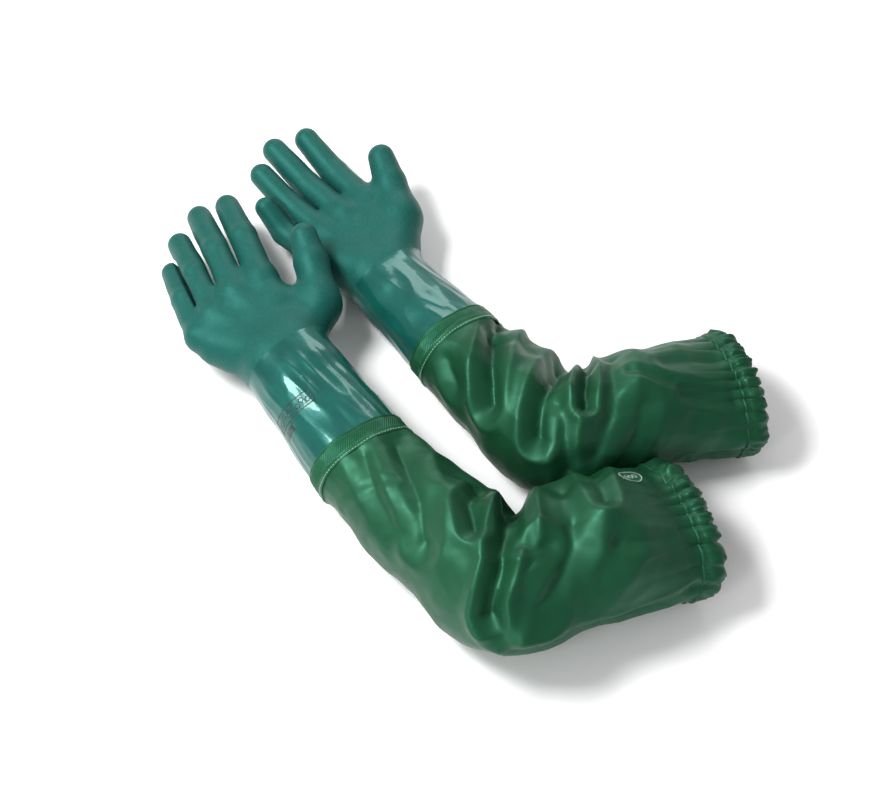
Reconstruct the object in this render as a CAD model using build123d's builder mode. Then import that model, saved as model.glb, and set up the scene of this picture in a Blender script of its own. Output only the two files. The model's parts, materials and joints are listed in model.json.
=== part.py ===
"""A pair of long beekeeping gauntlets: dipped gloves welded to elbow-length coated sleeves.

The pair lies as if just pulled off: the left glove palm down, the right glove palm up,
both bent at the elbow. +Y runs along the forearms to the fingertips, the arm openings face
+X, and +Z is up from the table. The origin is the middle of the pair's footprint.
"""
from build123d import *
from math import cos, radians, sin
import os

# ---- driving dimensions, in millimetres and degrees ----
COAT_WALL = 1.4          # dipped hand and cuff
LINER_WALL = 0.7         # knitted cotton lining
SLEEVE_WALL = 1.2        # coated sleeve cloth, with its loft
GAP = 0.4                # air between a stall's round root and the wall it turns in
SKIN_GAP = 0.05          # air between two layers that lie on each other
FLOOR_DIP = 0.8          # a resting sleeve is flattened by this much
BAND_WIDTH = 17.0        # ribbed weld between cuff and sleeve
BAND_WALL = 2.2
HEM_WIDTH = 19.0         # casing round the elastic at the arm opening
HEM_THICK = 6.0
ELASTIC_WIDTH = 12.0
ELASTIC_THICK = 1.6
THREAD = 0.7
TAPE_WIDTH = 16.0
PATCH_THICK = 0.3
KNUCKLE_OPEN = 7.0       # how far behind the knuckles the back of the palm shell ends
KNUCKLE_RELIEF = 17.0    # the same on the palm side, so that the fingers can curl
JOINT_OPEN = 1.0         # back of a finger shell, behind its middle knuckle
JOINT_RELIEF = 12.5      # palm side of a finger shell, behind its middle knuckle
ROOT_ANGLE = 55.0        # how far a stall's round root wraps below its hinge
KNUCKLE_HALF_HEIGHT = 17.0
THUMB_LOBE_OVER = 8.0    # the thumb's lobe is lofted past its hinge before it is trimmed
THUMB_LOBE_SWELL = 2.0
THUMB_RELIEF = 6.0
THUMB_INWARD = 0.5       # how much of the thumb's curl is towards the fingers
LINER_SETBACK = 10.0     # the lining ends short of the knuckles, where the finger shells turn
FOLD_INSET = 0.3         # a soft fold sits this far inside the walls that it joins
TAPE_THICK = 0.5
BAND_LIFT = 1.3          # clear of the cuff under the band
PRINT_SIZE = (38.0, 13.0)
PRINT_CORNER = 1.5
BADGE_RADII = (12.0, 6.5)
REACH = 90.0             # past any wall, for cutting

FINGERS = ("index", "middle", "ring", "little")
DIGITS = FINGERS + ("thumb",)

# Radius of each stall at its root, its middle joint and its tip.
STALL_RADII = {
    "index": (12.2, 12.9, 10.6),
    "middle": (12.2, 12.9, 10.8),
    "ring": (11.5, 12.2, 10.2),
    "little": (10.2, 11.2, 9.4),
    "thumb": (14.6, 14.6, 12.0),
}

# Places are (x, y, z), before the whole pair is moved to its origin. A limb's stations are
# (place, heading, half width, half height), in order from the arm opening to the hand.
LAYOUT_ORIGIN = (22.5, 32.0, 0.0)
GLOVES = {
    "left": {
        "palm_side": -1,
        "upper": [((34, -226, 39), -19, 62, 39), ((-10, -213, 56), -19, 64, 56),
                  ((-60, -194, 58), -19, 62, 58)],
        "elbow": (-106, -178, 58),
        "elbow_middle": ((-108, -176, 57), -53, 66, 57),
        "forearm": [((-110, -130, 55), -88, 55, 55), ((-115, -62, 49), -88, 52, 49),
                    ((-115, -4, 44), -95, 48, 41)],
        "cuff": [((-115, -4, 44), -95, 45.5, 39), ((-109, 60, 44), -97, 44, 37),
                 ((-103, 118, 45), -97, 42, 32)],
        "wrist": (-101, 130, 46),
        "palm_start": ((-102, 139, 46), 95, 41, 29),
        "palm_middle": ((-107, 172, 47), 97, 45, 22),
        "knuckles": {"index": (-69, 214, 55), "middle": (-98, 217, 53),
                     "ring": (-126, 211, 48), "little": (-152, 205, 42)},
        "headings": {"index": 71, "middle": 71, "ring": 71.5, "little": 73.5, "thumb": 66},
        "lengths": {"index": (56, 52), "middle": (59, 56), "ring": (57, 51),
                    "little": (48, 42), "thumb": (45, 27)},
        "pitches": {"index": (-2, -11), "middle": (-3, -12), "ring": (-3, -12),
                    "little": (-4, -12), "thumb": (14, 17)},
        "thumb_root": (-76, 144, 45),
        "thumb_joint": (-43, 156, 52),
        "print_place": (-124, 62),
        "badge_place": (18, -204),
    },
    "right": {
        "palm_side": 1,
        "upper": [((178, -143.5, 37), -21, 57, 37), ((120, -120, 50), -21, 55, 50),
                  ((84, -107, 53), -21, 54, 53)],
        "elbow": (28, -88, 54),
        "elbow_middle": ((31, -88, 53), -55, 60, 53),
        "forearm": [((26, -27, 50), -88, 53, 50), ((24, 5, 47), -89, 51, 47),
                    ((23, 38, 44), -93, 45, 41)],
        "cuff": [((23, 38, 44), -93, 41, 38), ((26, 90, 40), -93, 39, 36),
                 ((29, 142, 34), -92, 36, 31)],
        "wrist": (30, 155, 32),
        "palm_start": ((30, 164, 32), 90, 36, 28),
        "palm_middle": ((31, 194, 31), 89, 40, 22),
        "knuckles": {"index": (70, 233, 39), "middle": (44, 236, 37),
                     "ring": (18, 232, 33), "little": (-5, 228, 28)},
        "headings": {"index": 90, "middle": 92.5, "ring": 95, "little": 97, "thumb": 64},
        "lengths": {"index": (52, 49), "middle": (56, 53), "ring": (51, 47),
                    "little": (38, 32), "thumb": (43, 29)},
        "pitches": {"index": (-3, 10), "middle": (-2, 10), "ring": (-1, 12),
                    "little": (0, 28), "thumb": (10, 16)},
        "thumb_root": (48, 167, 34),
        "thumb_joint": (85.5, 192, 41),
    },
}


def placed(point):
    """A place measured from the pair's origin."""
    return Vector(*point) - Vector(*LAYOUT_ORIGIN)


def direction(heading, pitch=0.0):
    level = cos(radians(pitch))
    return Vector(level * cos(radians(heading)), level * sin(radians(heading)),
                  sin(radians(pitch)))


def across(point, heading, pitch=0.0):
    """A plane across a limb: its x is level and its z points along the limb."""
    return Plane(origin=point, x_dir=direction(heading - 90), z_dir=direction(heading, pitch))


def finish_piece(part, name):
    part.label = name
    export_step(part, f"parts/{name}.step")


def oval_stations(stations):
    return [(across(placed(point), heading), wide, high)
            for point, heading, wide, high in stations]


def oval_tube(stations, outside, inside):
    """A tube through ovals, between two depths measured inwards from the given outline."""
    with BuildPart() as tube:
        for plane, wide, high in stations:
            with BuildSketch(plane):
                Ellipse(wide - outside, high - outside)
        loft()
        for plane, wide, high in stations:
            with BuildSketch(plane):
                Ellipse(wide - inside, high - inside)
        loft(mode=Mode.SUBTRACT)
    return tube.part


def above(part, height):
    """The part of a piece above a level, as it rests on the table."""
    with BuildPart() as kept:
        add(part)
        split(bisect_by=Plane.XY.offset(height), keep=Keep.TOP)
    return kept.part


def resting(stations):
    """Sleeve stations sunk by the flattening, so that the trim leaves a level facet."""
    return [((x, y, high - FLOOR_DIP), heading, wide, high)
            for (x, y, z), heading, wide, high in stations]


def oval_ring(plane, wide, high, thick, width):
    """A flat ring round a limb, from the given plane towards its z."""
    with BuildPart() as ring:
        with BuildSketch(plane):
            Ellipse(wide, high)
            Ellipse(wide - thick, high - thick, mode=Mode.SUBTRACT)
        extrude(amount=width)
    return ring.part


def stall(plane, length, root, end, wall, closed):
    """A finger shell that turns about the plane's origin: round root, tapered tube, open or round tip."""
    side = Plane(origin=plane.origin, x_dir=plane.x_dir, z_dir=plane.x_dir.cross(plane.z_dir))
    bore = root - wall
    tip_bore = end - wall
    with BuildPart() as shell:
        with BuildSketch(side):
            with BuildLine():
                start = CenterArc((0, 0), root, -ROOT_ANGLE, ROOT_ANGLE)
                Line(start @ 1, (end, length))
                if closed:
                    CenterArc((0, length), end, 0, 90)
                    Line((0, length + end), (0, length + tip_bore))
                    CenterArc((0, length), tip_bore, 0, 90)
                else:
                    Line((end, length), (tip_bore, length))
                Line((tip_bore, length), (bore, 0))
                inner = CenterArc((0, 0), bore, -ROOT_ANGLE, ROOT_ANGLE)
                Line(inner @ 0, start @ 0)
            make_face()
        revolve(axis=Axis(plane.origin, plane.z_dir))
    return shell.part


def relief_plane(hinge, along, palmar, back_gap, palm_gap, height):
    """The slanted end of a shell: it stops short on the palm side, where the next piece curls in."""
    slope = (palm_gap - back_gap) / (2 * height)
    normal = (along + palmar * slope).normalized()
    return Plane(origin=hinge - along * ((palm_gap + back_gap) / 2), z_dir=normal)


def trimmed(part, plane):
    with BuildPart() as kept:
        add(part)
        split(bisect_by=plane, keep=Keep.BOTTOM)
    return kept.part


def palm_sections(glove):
    """Wrist, middle and knuckle sections of the palm: slots whose z points to the fingers."""
    sections = []
    for point, heading, wide, high in (glove["palm_start"], glove["palm_middle"]):
        sections.append((across(placed(point), heading), wide, high))
    index = placed(glove["knuckles"]["index"])
    little = placed(glove["knuckles"]["little"])
    over = (index - little).normalized()
    forward = Vector(0, 0, 1).cross(over).normalized()
    half_span = (index - little).length / 2
    reach = half_span + STALL_RADII["index"][0] + GAP + COAT_WALL
    sections.append((Plane(origin=(index + little) / 2, x_dir=over, z_dir=forward), reach,
                     KNUCKLE_HALF_HEIGHT))
    return sections


def slot_solid(sections, inset):
    with BuildPart() as block:
        for plane, wide, high in sections:
            with BuildSketch(plane):
                SlotOverall(2 * (wide - inset), 2 * (high - inset))
        loft()
    return block.part


def lobe_solid(glove, inset):
    """The ball of the thumb: a cone from inside the palm to just past the thumb's hinge."""
    root = placed(glove["thumb_root"])
    joint = placed(glove["thumb_joint"])
    along = (joint - root).normalized()
    radius = STALL_RADII["thumb"][0] + GAP + COAT_WALL - inset
    with BuildPart() as cone:
        with BuildSketch(Plane(origin=root, z_dir=along)):
            Circle(radius + THUMB_LOBE_SWELL)
        with BuildSketch(Plane(origin=joint + along * THUMB_LOBE_OVER, z_dir=along)):
            Circle(radius)
        loft()
    return cone.part


def palm_layer(glove, outside, inside, end_gap):
    """One layer of the hand, from the wrist to behind the knuckles, with the thumb's lobe."""
    sections = palm_sections(glove)
    palmar = Vector(0, 0, glove["palm_side"])
    thumb_along = direction(glove["headings"]["thumb"], glove["pitches"]["thumb"][0])
    thumb_end = Plane(origin=placed(glove["thumb_joint"]) - thumb_along * (THUMB_RELIEF + end_gap),
                      z_dir=thumb_along)
    knuckle_plane = sections[-1][0]
    knuckle_end = relief_plane(knuckle_plane.origin, knuckle_plane.z_dir, palmar,
                               KNUCKLE_OPEN + end_gap, KNUCKLE_RELIEF + end_gap,
                               KNUCKLE_HALF_HEIGHT)
    with BuildPart() as lobe:
        add(lobe_solid(glove, outside))
        split(bisect_by=thumb_end, keep=Keep.BOTTOM)
        split(bisect_by=sections[0][0], keep=Keep.TOP)
    with BuildPart() as layer:
        add(slot_solid(sections, outside))
        add(lobe.part)
        add(slot_solid(sections, inside), mode=Mode.SUBTRACT)
        add(lobe_solid(glove, inside), mode=Mode.SUBTRACT)
        split(bisect_by=knuckle_end, keep=Keep.BOTTOM)
    return layer.part


def build_hand(side, glove):
    """Palm shell, its lining, the wrist's soft fold and the finger shells."""
    finish_piece(palm_layer(glove, 0, COAT_WALL, 0), f"{side}_palm_shell")
    liner_outside = COAT_WALL + SKIN_GAP
    finish_piece(palm_layer(glove, liner_outside, liner_outside + LINER_WALL, LINER_SETBACK),
                 f"{side}_palm_liner")
    for digit in DIGITS:
        build_digit(side, glove, digit)


def hinges(glove, digit):
    """Root hinge and middle hinge of a digit, with the directions of its two shells."""
    place = glove["thumb_joint"] if digit == "thumb" else glove["knuckles"][digit]
    heading = glove["headings"][digit]
    root = placed(place)
    first = direction(heading, glove["pitches"][digit][0])
    second = direction(heading, glove["pitches"][digit][1])
    middle = root + first * glove["lengths"][digit][0]
    return root, middle, first, second


def curl_axis(glove, digit):
    """The line a digit turns about: level for the fingers, leaning for the thumb."""
    heading = glove["headings"][digit]
    side = glove["palm_side"]
    if digit == "thumb":
        inward = direction(heading + 90) * THUMB_INWARD + Vector(0, 0, side)
        along = direction(heading, glove["pitches"][digit][0])
        return along.cross(inward).normalized()
    return direction(heading - 90 * side)


def build_digit(side, glove, digit):
    """A digit is two shells: one from the knuckle to the middle joint, and the closed tip."""
    root, middle, first, second = hinges(glove, digit)
    root_radius, middle_radius, tip_radius = STALL_RADII[digit]
    length, tip_length = glove["lengths"][digit]
    axis = curl_axis(glove, digit)
    palmar = axis.cross(first)
    base_plane = Plane(origin=root, x_dir=axis, z_dir=first)
    tip_plane = Plane(origin=middle, x_dir=axis, z_dir=second)
    ball = middle_radius - COAT_WALL - GAP
    base = stall(base_plane, length, root_radius, middle_radius, COAT_WALL, closed=False)
    base_end = relief_plane(middle, first, palmar, JOINT_OPEN, JOINT_RELIEF, middle_radius)
    finish_piece(trimmed(base, base_end), f"{side}_{digit}_base")
    tip = stall(tip_plane, tip_length, ball, tip_radius, COAT_WALL, closed=True)
    finish_piece(tip, f"{side}_{digit}_tip")


def build_sleeve(side, glove):
    """Upper sleeve, elbow fold and forearm sleeve, with the tape inside their seams."""
    upper = oval_stations(resting(glove["upper"]))
    forearm = oval_stations(resting(glove["forearm"][:-1]) + glove["forearm"][-1:])
    elbow = [upper[-1]] + oval_stations(resting([glove["elbow_middle"]])) + [forearm[0]]
    finish_piece(above(oval_tube(upper, 0, SLEEVE_WALL), 0), f"{side}_upper_sleeve")
    finish_piece(above(oval_tube(forearm, 0, SLEEVE_WALL), 0), f"{side}_forearm_sleeve")
    fold = oval_tube(elbow, FOLD_INSET, FOLD_INSET + SLEEVE_WALL)
    finish_piece(above(fold, FOLD_INSET), f"{side}_elbow_fold")
    for name, stations in (("upper", upper), ("forearm", forearm)):
        finish_piece(seam_tape(stations), f"{side}_{name}_seam_tape")
    return upper


def seam_tape(stations):
    """A tape welded inside a sleeve, along the outer side of the arm."""
    start, end = stations[0][0].origin, stations[-1][0].origin
    limb = (start - end).normalized()
    outward = Vector(0, 0, 1).cross(limb) * -1
    wall = SLEEVE_WALL + SKIN_GAP
    lining = oval_tube(stations, wall, wall + TAPE_THICK)
    middle = (start + end) / 2
    with BuildPart() as tape:
        add(lining)
        with BuildSketch(Plane(origin=middle, x_dir=limb, z_dir=outward)):
            Rectangle(2 * (start - end).length, TAPE_WIDTH)
        extrude(amount=REACH, mode=Mode.INTERSECT)
    return tape.part


def build_hem(side, upper):
    """The casing folded over at the arm opening, the elastic in it and the thread round it."""
    opening, wide, high = upper[0]
    inset = (HEM_WIDTH - ELASTIC_WIDTH) / 2
    depth = (HEM_THICK - ELASTIC_THICK) / 2
    channel = oval_ring(opening.offset(inset - SKIN_GAP), wide - depth + SKIN_GAP,
                        high - depth + SKIN_GAP, ELASTIC_THICK + 2 * SKIN_GAP,
                        ELASTIC_WIDTH + 2 * SKIN_GAP)
    with BuildPart() as casing:
        add(oval_ring(opening, wide, high, HEM_THICK, HEM_WIDTH))
        add(channel, mode=Mode.SUBTRACT)
        split(bisect_by=Plane.XY, keep=Keep.TOP)
    finish_piece(casing.part, f"{side}_hem_casing")
    elastic = oval_ring(opening.offset(inset), wide - depth, high - depth, ELASTIC_THICK,
                        ELASTIC_WIDTH)
    finish_piece(elastic, f"{side}_hem_elastic")
    over = THREAD + SKIN_GAP
    thread = oval_ring(opening.offset(THREAD), wide + over, high + over, THREAD, THREAD)
    finish_piece(above(thread, THREAD), f"{side}_hem_stitching")


def build_cuff(side, glove):
    """The glossy cuff with its lining, and the ribbed band that welds it to the sleeve."""
    cuff = oval_stations(glove["cuff"])
    finish_piece(oval_tube(cuff, 0, COAT_WALL), f"{side}_cuff")
    liner_outside = COAT_WALL + SKIN_GAP
    liner = oval_tube(cuff, liner_outside, liner_outside + LINER_WALL)
    finish_piece(liner, f"{side}_cuff_liner")

    join, wide, high = cuff[0]
    band_start = join.offset(-BAND_WIDTH)
    over = BAND_LIFT + BAND_WALL
    band = oval_ring(band_start, wide + over, high + over, BAND_WALL, BAND_WIDTH)
    finish_piece(band, f"{side}_joining_band")
    over = over + SKIN_GAP + THREAD
    thread = oval_ring(band_start.offset(BAND_WIDTH - 2 * THREAD), wide + over, high + over,
                       THREAD, THREAD)
    finish_piece(thread, f"{side}_band_stitching")

    point, heading, start_wide, start_high = glove["palm_start"]
    palm_start = (across(placed(point), heading + 180), start_wide, start_high)
    fold = oval_tube([cuff[-1], palm_start], FOLD_INSET, FOLD_INSET + COAT_WALL)
    finish_piece(fold, f"{side}_wrist_fold")
    return cuff


def build_marks(side, glove, cuff, upper):
    """A plain printed panel on the cuff, and a plain oval badge on the sleeve near its hem."""
    x, y = glove["print_place"]
    print_plane = Plane(origin=placed((x, y, 0)), x_dir=cuff[1][0].x_dir * -1, z_dir=(0, 0, 1))
    print_skin = oval_tube(cuff, -SKIN_GAP - PATCH_THICK, -SKIN_GAP)
    with BuildPart() as panel:
        add(print_skin)
        with BuildSketch(print_plane):
            RectangleRounded(*PRINT_SIZE, PRINT_CORNER)
        extrude(amount=REACH, mode=Mode.INTERSECT)
        split(bisect_by=Plane.XY.offset(glove["wrist"][2]), keep=Keep.TOP)
    finish_piece(panel.part, f"{side}_cuff_print")
    x, y = glove["badge_place"]
    badge_plane = Plane(origin=placed((x, y, 0)), x_dir=upper[0][0].z_dir, z_dir=(0, 0, 1))
    badge_skin = oval_tube(upper, -SKIN_GAP - PATCH_THICK, -SKIN_GAP)
    with BuildPart() as badge:
        add(badge_skin)
        with BuildSketch(badge_plane):
            Ellipse(*BADGE_RADII)
        extrude(amount=2 * REACH, mode=Mode.INTERSECT)
        split(bisect_by=Plane.XY.offset(glove["wrist"][2]), keep=Keep.TOP)
    finish_piece(badge.part, f"{side}_sleeve_badge")


os.makedirs("parts", exist_ok=True)
for side, glove in GLOVES.items():
    upper = build_sleeve(side, glove)
    build_hem(side, upper)
    cuff = build_cuff(side, glove)
    build_hand(side, glove)
    if "print_place" in glove:
        build_marks(side, glove, cuff, upper)
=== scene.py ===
"""A pair of long beekeeping gauntlets: sandy dipped hands, glossy cuffs and coated cloth sleeves.

Everything is in metres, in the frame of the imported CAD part.
"""

import json
import math

import bmesh
import bpy
import numpy as np
import openvdb
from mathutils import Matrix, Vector, noise
from mathutils.bvhtree import BVHTree


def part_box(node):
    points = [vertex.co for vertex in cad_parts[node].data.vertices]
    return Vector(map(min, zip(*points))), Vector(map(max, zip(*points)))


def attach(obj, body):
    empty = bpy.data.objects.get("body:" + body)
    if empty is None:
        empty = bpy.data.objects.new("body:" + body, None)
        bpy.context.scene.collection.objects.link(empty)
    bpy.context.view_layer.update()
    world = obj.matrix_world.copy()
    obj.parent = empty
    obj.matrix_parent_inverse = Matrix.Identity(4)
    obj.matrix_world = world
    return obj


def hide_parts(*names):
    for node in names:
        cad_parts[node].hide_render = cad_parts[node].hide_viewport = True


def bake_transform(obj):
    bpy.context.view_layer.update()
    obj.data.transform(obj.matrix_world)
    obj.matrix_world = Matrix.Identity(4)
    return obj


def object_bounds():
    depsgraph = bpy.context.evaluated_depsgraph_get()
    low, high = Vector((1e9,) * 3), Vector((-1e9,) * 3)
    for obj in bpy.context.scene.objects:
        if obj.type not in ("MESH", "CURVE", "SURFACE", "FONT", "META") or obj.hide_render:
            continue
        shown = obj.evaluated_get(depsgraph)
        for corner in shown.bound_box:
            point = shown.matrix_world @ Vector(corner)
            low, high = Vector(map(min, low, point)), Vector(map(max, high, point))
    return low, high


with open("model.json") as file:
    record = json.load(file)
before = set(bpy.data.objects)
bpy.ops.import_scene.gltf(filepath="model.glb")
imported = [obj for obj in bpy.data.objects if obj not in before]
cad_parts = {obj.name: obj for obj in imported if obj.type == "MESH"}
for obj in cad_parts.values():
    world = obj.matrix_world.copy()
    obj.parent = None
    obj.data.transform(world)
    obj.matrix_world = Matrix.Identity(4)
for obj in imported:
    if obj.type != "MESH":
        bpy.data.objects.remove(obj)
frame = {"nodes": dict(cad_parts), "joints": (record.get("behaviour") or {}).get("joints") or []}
cad_box = [list(corner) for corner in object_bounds()]

MM = 0.001
SIDES = ("left", "right")
FINGERS = ("index", "middle", "ring", "little")
DIGITS = FINGERS + ("thumb",)
JOINTS = {joint["name"]: joint for joint in frame["joints"]}
UP = np.array((0.0, 0.0, 1.0))
FLOOR_GAP = 0.3 * MM                         # between the floor and the cloth that lies on it

# ---- the hand ----
VOXEL = 1.3 * MM
BLOCK = 6                                    # voxels along a side of a block
# Radius of each digit at its knuckle, its middle joint and its tip.
DIGIT_RADII = {
    "index": (14.2 * MM, 13.6 * MM, 12.0 * MM),
    "middle": (14.2 * MM, 13.6 * MM, 12.2 * MM),
    "ring": (13.6 * MM, 13.0 * MM, 11.6 * MM),
    "little": (12.4 * MM, 12.0 * MM, 10.6 * MM),
    "thumb": (18.0 * MM, 16.2 * MM, 13.0 * MM),
}
# Where each stall starts beyond its knuckle. A stall starts before it bends, so that its edge stays
# on the palm's.
FINGER_ROOT = -10 * MM
THUMB_ROOT = 4 * MM
PALM_SIDE = {"left": -1.0, "right": 1.0}     # the way the palm faces, along Z
# The soft skin lies a little off the rigid stalls: how far each digit is moved.
LEAN = {
    "left": {"index": (-1, 0, 0), "middle": (-1, 0, 0), "ring": (-2, 0, 0),
             "little": (5, 1, 0), "thumb": (0, 0, 0)},
    "right": {"index": (3, 0, 0), "middle": (2, -1, 0), "ring": (3, -1, 0),
              "little": (3, -2, 0), "thumb": (-4, 3, 0)},
}
# Radius of the cuff at its band and at the wrist, and how far its two rounds stand apart.
CUFF_RADII = {"left": (39 * MM, 32 * MM), "right": (36.5 * MM, 28.5 * MM)}
CUFF_SPREAD = {"left": 9 * MM, "right": 7 * MM}
LINING_INSET = 1.6 * MM

# How far the soft arm lies to one side of the rigid one, in millimetres along X and Y.
ARM_LEAN = {
    "left": {"hem": (2, 6), "elbow": (-2, 3), "band": (-5, 0), "wrist": (-4, 0)},
    "right": {"hem": (-4, -3), "elbow": (-2, -3), "band": (0, 0), "wrist": (0, 0)},
}


# ---- small helpers ----
def unit(v):
    return v / np.linalg.norm(v)


def joint_place(name):
    return np.array(JOINTS[name]["pos_m"], float)


def node_points(name):
    mesh = frame["nodes"][name].data
    points = np.empty(len(mesh.vertices) * 3)
    mesh.vertices.foreach_get("co", points)
    return points.reshape(-1, 3)


def new_piece(name, points, faces, material=None):
    mesh = bpy.data.meshes.new(name)
    mesh.from_pydata([tuple(p) for p in points], [], [tuple(f) for f in faces])
    mesh.update()
    mesh.polygons.foreach_set("use_smooth", [True] * len(mesh.polygons))
    piece = bpy.data.objects.new(name, mesh)
    bpy.context.scene.collection.objects.link(piece)
    if material is not None:
        mesh.materials.append(material)
    return piece


def piece_points(piece):
    points = np.empty(len(piece.data.vertices) * 3)
    piece.data.vertices.foreach_get("co", points)
    return points.reshape(-1, 3)


def smooth_step(t):
    t = np.clip(t, 0, 1)
    return t * t * (3 - 2 * t)


def leaned(side, points):
    """The points of one glove, moved to where its soft arm lies."""
    hem, band = (np.array(SLEEVE_PATHS[side][k]) * MM for k in (0, -1))
    elbow, wrist = (joint_place(f"{side}_{name}") for name in ("elbow", "wrist"))
    stops = (elbow[1], band[1], wrist[1], wrist[1] + 55 * MM)
    near_hem = smooth_step((points[:, 0] - elbow[0] - 20 * MM) / (hem[0] - elbow[0] - 30 * MM))
    near_hem = near_hem * smooth_step((band[1] - points[:, 1]) / (50 * MM))
    moved = points.copy()
    for axis in range(2):
        share = [ARM_LEAN[side][name][axis] * MM for name in ("elbow", "band", "wrist")]
        at_hem = ARM_LEAN[side]["hem"][axis] * MM
        along = np.interp(points[:, 1], stops, share + [0])
        moved[:, axis] += along * (1 - near_hem) + at_hem * near_hem
    return moved


def lean_piece(side, piece):
    piece.data.vertices.foreach_set("co", leaned(side, piece_points(piece)).ravel())
    piece.data.update()


# ---- distances for the hand's shape ----
def cone(p, a, b, ra, rb):
    """Distance from the points p to a round cone from a to b."""
    ab = b - a
    t = np.clip(((p - a) @ ab) / (ab @ ab), 0, 1)
    return np.linalg.norm(p - a - t[:, None] * ab, axis=1) - (ra + (rb - ra) * t)


def melt(a, b, k):
    """The nearer of two distances, rounded over k where they meet."""
    h = np.clip(k - np.abs(a - b), 0, None) / k
    return np.minimum(a, b) - h * h * k / 4


class Hand:
    """The bones of one glove's hand and cuff, measured from the frame."""

    def __init__(self, side):
        self.side = side
        self.wrist = joint_place(f"{side}_wrist")
        self.bones = {}
        for digit in DIGITS:
            knuckle = joint_place(f"{side}_{digit}_knuckle")
            middle = joint_place(f"{side}_{digit}_middle")
            points = node_points(f"{side}_{digit}_tip")
            way = unit(points.mean(0) - middle)
            reach = ((points - middle) @ way).max()
            tip = middle + way * (reach - DIGIT_RADII[digit][2])
            lean = np.array(LEAN[side][digit]) * MM
            self.bones[digit] = (knuckle + 0.7 * lean, middle + lean, tip + 1.5 * lean)
        knuckles = sum(self.bones[finger][0] for finger in FINGERS) / 4
        low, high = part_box(f"{side}_joining_band")
        self.band = (np.array(low) + np.array(high)) / 2
        self.along = unit((knuckles - self.wrist) * (1, 1, 0))
        self.cuff_way = unit((self.wrist - self.band) * (1, 1, 0))
        self.across = np.cross(self.along, UP)          # towards the thumb for both gloves
        self.edge_way = unit(self.along + self.cuff_way)
        self.palm = UP * PALM_SIDE[side]

    def palm_distance(self, p):
        wrist, along, across, palm = self.wrist, self.along, self.across, self.palm
        start = wrist - self.cuff_way * 30 * MM
        at_wrist = CUFF_RADII[self.side][1]
        spread = CUFF_SPREAD[self.side]
        d = melt(cone(p, start + across * spread, wrist + across * spread + along * 12 * MM,
                      at_wrist, at_wrist - 3 * MM),
                 cone(p, start - across * spread, wrist - across * spread + along * 12 * MM,
                      at_wrist, at_wrist - 3 * MM), 6 * MM)
        for place, finger in zip((1.5, 0.5, -0.5, -1.5), FINGERS):
            root = wrist + along * 14 * MM + across * place * 9 * MM
            knuckle = self.bones[finger][0]
            radius = DIGIT_RADII[finger][0]
            bone = cone(p, root, knuckle, 24 * MM, radius + 1.0 * MM)
            d = melt(d, bone, 9 * MM)
        for a, b in zip(FINGERS, FINGERS[1:]):
            ka, ma = self.bones[a][:2]
            kb, mb = self.bones[b][:2]
            low = (ka + kb) / 2 - along * 6 * MM
            high = (ka + unit(ma - ka) * 13 * MM + kb + unit(mb - kb) * 13 * MM) / 2
            d = melt(d, cone(p, low, high, 13 * MM, 8.5 * MM), 8 * MM)
        knuckle, middle = self.bones["thumb"][:2]
        heel = wrist + along * 8 * MM + across * 17 * MM
        d = melt(d, cone(p, heel + palm * 2 * MM, knuckle + palm * 1 * MM, 25 * MM, 18.5 * MM),
                 12 * MM)
        index = self.bones["index"][0]
        side_of_palm = index * 0.62 + wrist * 0.38 + across * 4 * MM
        web = knuckle + unit(middle - knuckle) * 10 * MM
        d = melt(d, cone(p, web, side_of_palm, 13 * MM, 13 * MM), 14 * MM)
        little = self.bones["little"][0]
        heel = wrist + along * 20 * MM - across * 11 * MM
        d = melt(d, cone(p, heel + palm * 3 * MM, little - along * 20 * MM + across * 2 * MM
                         + palm * 3 * MM, 20 * MM, 14 * MM), 12 * MM)
        return d

    def digit_distance(self, p, digit):
        knuckle, middle, tip = self.bones[digit]
        at_knuckle, at_middle, at_tip = DIGIT_RADII[digit]
        return melt(cone(p, knuckle, middle, at_knuckle, at_middle),
                    cone(p, middle, tip, at_middle, at_tip), 3 * MM)

    def axis_distance(self, p, digit):
        """Distance to the bones of one digit, run on behind its knuckle."""
        knuckle, middle, tip = self.bones[digit]
        behind = knuckle - unit(middle - knuckle) * 14 * MM
        return np.minimum(cone(p, behind, middle, 0, 0), cone(p, middle, tip, 0, 0))

    def distance(self, p):
        digits = [self.digit_distance(p, digit) for digit in DIGITS]
        fingers = np.minimum.reduce(digits[:4])
        palm = self.palm_distance(p)
        d = melt(palm, fingers, 7 * MM)
        d = melt(d, digits[4], 10 * MM)
        for i in range(3):
            a, b = FINGERS[i], FINGERS[i + 1]
            ka, ma = self.bones[a][:2]
            kb, mb = self.bones[b][:2]
            crotch = (ka + unit(ma - ka) * 22 * MM + kb + unit(mb - kb) * 22 * MM) / 2
            between = np.abs(self.axis_distance(p, a) - self.axis_distance(p, b)) / 2
            past = (p - crotch) @ self.along
            slit = 0.7 * MM + np.clip(past, 0, 20 * MM) * 0.03 - between
            slit = np.where(past > 0, slit, -np.hypot(np.minimum(past, 0), between))
            near = np.minimum(digits[i], digits[i + 1]) < 12 * MM
            d = np.where(near, np.maximum(d, slit), d)
        return d

    def cuff_distance(self, p):
        low, high = self.band, self.wrist
        across = np.cross(self.cuff_way, UP)
        at_band, at_wrist = CUFF_RADII[self.side]
        spread = CUFF_SPREAD[self.side]
        return melt(
            cone(p, low + across * spread, high + across * spread, at_band, at_wrist),
            cone(p, low - across * spread, high - across * spread, at_band, at_wrist), 6 * MM)

    def skin_distance(self, p):
        return melt(self.distance(p), self.cuff_distance(p), 8 * MM)

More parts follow.
